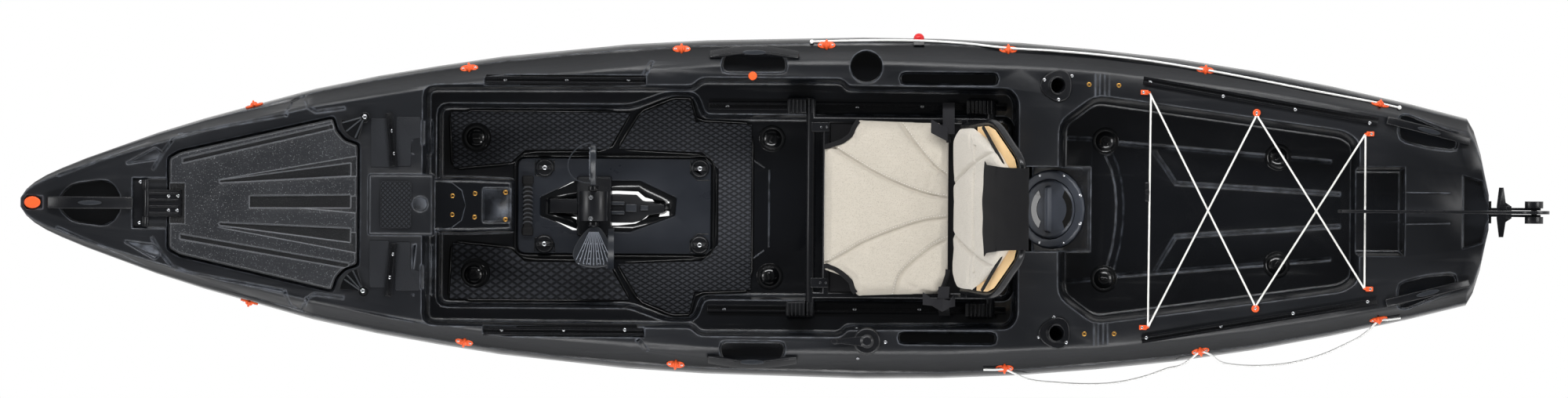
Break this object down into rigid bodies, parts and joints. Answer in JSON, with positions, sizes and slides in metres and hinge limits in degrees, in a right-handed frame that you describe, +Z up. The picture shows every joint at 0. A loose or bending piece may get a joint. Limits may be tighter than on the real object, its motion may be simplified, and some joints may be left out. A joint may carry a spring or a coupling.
{
  "type": "fishing kayak",
  "caption": "Pedal driven sit-on-top fishing kayak with a framed reclining seat, bow hatch, gear tracks, rod holders, tank well and a flip-up rudder.",
  "frame": {"origin": "under the middle of the whole boat, on the floor it rests on", "axes": "+X from bow to stern, +Y to starboard, +Z up"},
  "size_m": [4.112, 0.9365, 0.7472],
  "materials": {
    "hull_plastic": "rotomoulded",
    "black_plastic": "moulded",
    "speckled_plastic": "pebbled",
    "grey_plastic": "moulded",
    "dark_foam": "EVA foam",
    "black_rubber": "ribbed",
    "orange_plastic": "moulded",
    "beige_mesh": "spacer mesh",
    "black_fabric": "woven",
    "anodised_aluminium": "black anodised",
    "white_rope": "braided"
  },
  "bodies": {
    "boat": {"hull": "hull_plastic", "hatch_hinge_base": "black_plastic", "bow_handle": "black_plastic", "side_handle_starboard": "black_plastic", "side_handle_port": "black_plastic", "stern_handle_starboard": "black_plastic", "stern_handle_port": "black_plastic", "bow_drain_plug": "orange_plastic", "console_pad": "dark_foam", "dash_track_starboard": "black_plastic", "dash_track_port": "black_plastic", "front_track_starboard": "anodised_aluminium", "front_track_port": "anodised_aluminium", "seat_track_starboard": "anodised_aluminium", "seat_track_port": "anodised_aluminium", "rear_track_starboard": "anodised_aluminium", "rear_track_port": "anodised_aluminium", "forward_mat_starboard": "dark_foam", "forward_mat_port": "dark_foam", "rear_mat": "dark_foam", "drive_plate": "black_plastic", "drive_grip": "black_rubber", "drive_housing": "black_plastic", "round_hatch_ring": "black_plastic", "rod_holder_starboard": "black_plastic", "rod_holder_port": "black_plastic", "steering_base": "black_plastic", "rudder_bracket": "black_plastic", "tank_bungee": "white_rope", "starboard_rope": "white_rope", "port_rope": "white_rope"},
    "bow_hatch": {"bow_hatch_lid": "speckled_plastic", "hatch_hinge_leaf": "black_plastic"},
    "hatch_latch_starboard": {"hatch_latch_starboard": "black_plastic"},
    "hatch_latch_port": {"hatch_latch_port": "black_plastic"},
    "plate_knob_front_starboard": {"plate_knob_front_starboard": "black_plastic"},
    "plate_knob_front_port": {"plate_knob_front_port": "black_plastic"},
    "plate_knob_rear_starboard": {"plate_knob_rear_starboard": "black_plastic"},
    "plate_knob_rear_port": {"plate_knob_rear_port": "black_plastic"},
    "crank": {"crank": "anodised_aluminium"},
    "pedal_starboard": {"pedal_starboard": "grey_plastic"},
    "pedal_port": {"pedal_port": "grey_plastic"},
    "drive_leg": {"drive_leg": "black_plastic"},
    "propeller": {"propeller": "black_plastic"},
    "seat": {"seat_frame": "anodised_aluminium", "seat_clamp_front_starboard": "black_plastic", "seat_clamp_front_port": "black_plastic", "seat_clamp_rear_starboard": "black_plastic", "seat_clamp_rear_port": "black_plastic", "seat_cushion": "beige_mesh"},
    "seat_back": {"seat_back_frame": "anodised_aluminium", "seat_back_pad": "beige_mesh", "lumbar_band": "black_fabric"},
    "round_hatch_lid": {"round_hatch_lid": "black_plastic"},
    "steering_lever": {"steering_lever": "black_plastic"},
    "rudder_yoke": {"rudder_yoke": "black_plastic"},
    "rudder_blade": {"rudder_blade": "black_plastic"}
  },
  "joints": [
    {"name": "bow_hatch_hinge", "type": "hinge", "parent": "boat", "child": "bow_hatch", "pos_m": [-1.71804, 0, 0.3737], "axis": [0, -1, 0], "range_deg": [0, 100]},
    {"name": "latch_turn_starboard", "type": "hinge", "parent": "boat", "child": "hatch_latch_starboard", "pos_m": [-1.13295, 0.23447, 0.352], "axis": [0, 0, -1], "range_deg": [0, 100]},
    {"name": "latch_turn_port", "type": "hinge", "parent": "boat", "child": "hatch_latch_port", "pos_m": [-1.13295, -0.23447, 0.352], "axis": [0, 0, 1], "range_deg": [0, 100]},
    {"name": "knob_turn_front_starboard", "type": "hinge", "parent": "boat", "child": "plate_knob_front_starboard", "pos_m": [-0.65136, 0.10351, 0.118], "axis": [0, 0, 1], "range_deg": [0, 90]},
    {"name": "knob_turn_front_port", "type": "hinge", "parent": "boat", "child": "plate_knob_front_port", "pos_m": [-0.65136, -0.10351, 0.118], "axis": [0, 0, 1], "range_deg": [0, 90]},
    {"name": "knob_turn_rear_starboard", "type": "hinge", "parent": "boat", "child": "plate_knob_rear_starboard", "pos_m": [-0.23103, 0.10351, 0.118], "axis": [0, 0, 1], "range_deg": [0, 90]},
    {"name": "knob_turn_rear_port", "type": "hinge", "parent": "boat", "child": "plate_knob_rear_port", "pos_m": [-0.23103, -0.10351, 0.118], "axis": [0, 0, 1], "range_deg": [0, 90]},
    {"name": "crank_spin", "type": "hinge", "parent": "boat", "child": "crank", "pos_m": [-0.51618, 0, 0.348], "axis": [0, 1, 0], "continuous": true},
    {"name": "pedal_spin_starboard", "type": "hinge", "parent": "crank", "child": "pedal_starboard", "pos_m": [-0.51618, 0.112, 0.503], "axis": [0, 1, 0], "continuous": true},
    {"name": "pedal_spin_port", "type": "hinge", "parent": "crank", "child": "pedal_port", "pos_m": [-0.51618, -0.112, 0.193], "axis": [0, 1, 0], "continuous": true},
    {"name": "leg_swing", "type": "hinge", "parent": "boat", "child": "drive_leg", "pos_m": [-0.63658, 0, 0.058], "axis": [0, 1, 0], "range_deg": [0, 90]},
    {"name": "propeller_spin", "type": "hinge", "parent": "drive_leg", "child": "propeller", "pos_m": [-0.33658, 0, 0.088], "axis": [0, 0, 1], "continuous": true},
    {"name": "seat_slide", "type": "slide", "parent": "boat", "child": "seat", "axis": [1, 0, 0], "range_m": [-0.12, 0]},
    {"name": "seat_back_fold", "type": "hinge", "parent": "seat", "child": "seat_back", "pos_m": [0.4808, 0, 0.3606], "axis": [0, -1, 0], "range_deg": [0, 95]},
    {"name": "round_lid_twist", "type": "hinge", "parent": "boat", "child": "round_hatch_lid", "pos_m": [0.71935, 0, 0.2495], "axis": [-0.5446, 0, 0.8387], "range_deg": [0, 90]},
    {"name": "steering_turn", "type": "hinge", "parent": "boat", "child": "steering_lever", "pos_m": [0.22311, -0.35911, 0.35], "axis": [0, 0, 1], "range_deg": [-60, 60]},
    {"name": "rudder_yaw", "type": "hinge", "parent": "boat", "child": "rudder_yoke", "pos_m": [1.93, 0, 0.245], "axis": [0, 0, 1], "range_deg": [-25, 25]},
    {"name": "rudder_flip", "type": "hinge", "parent": "rudder_yoke", "child": "rudder_blade", "pos_m": [2.014, 0, 0.398], "axis": [0, 1, 0], "range_deg": [0, 270]}
  ],
  "couplings": [
    {"joint": "propeller_spin", "follows": "crank_spin", "ratio": 8}
  ]
}
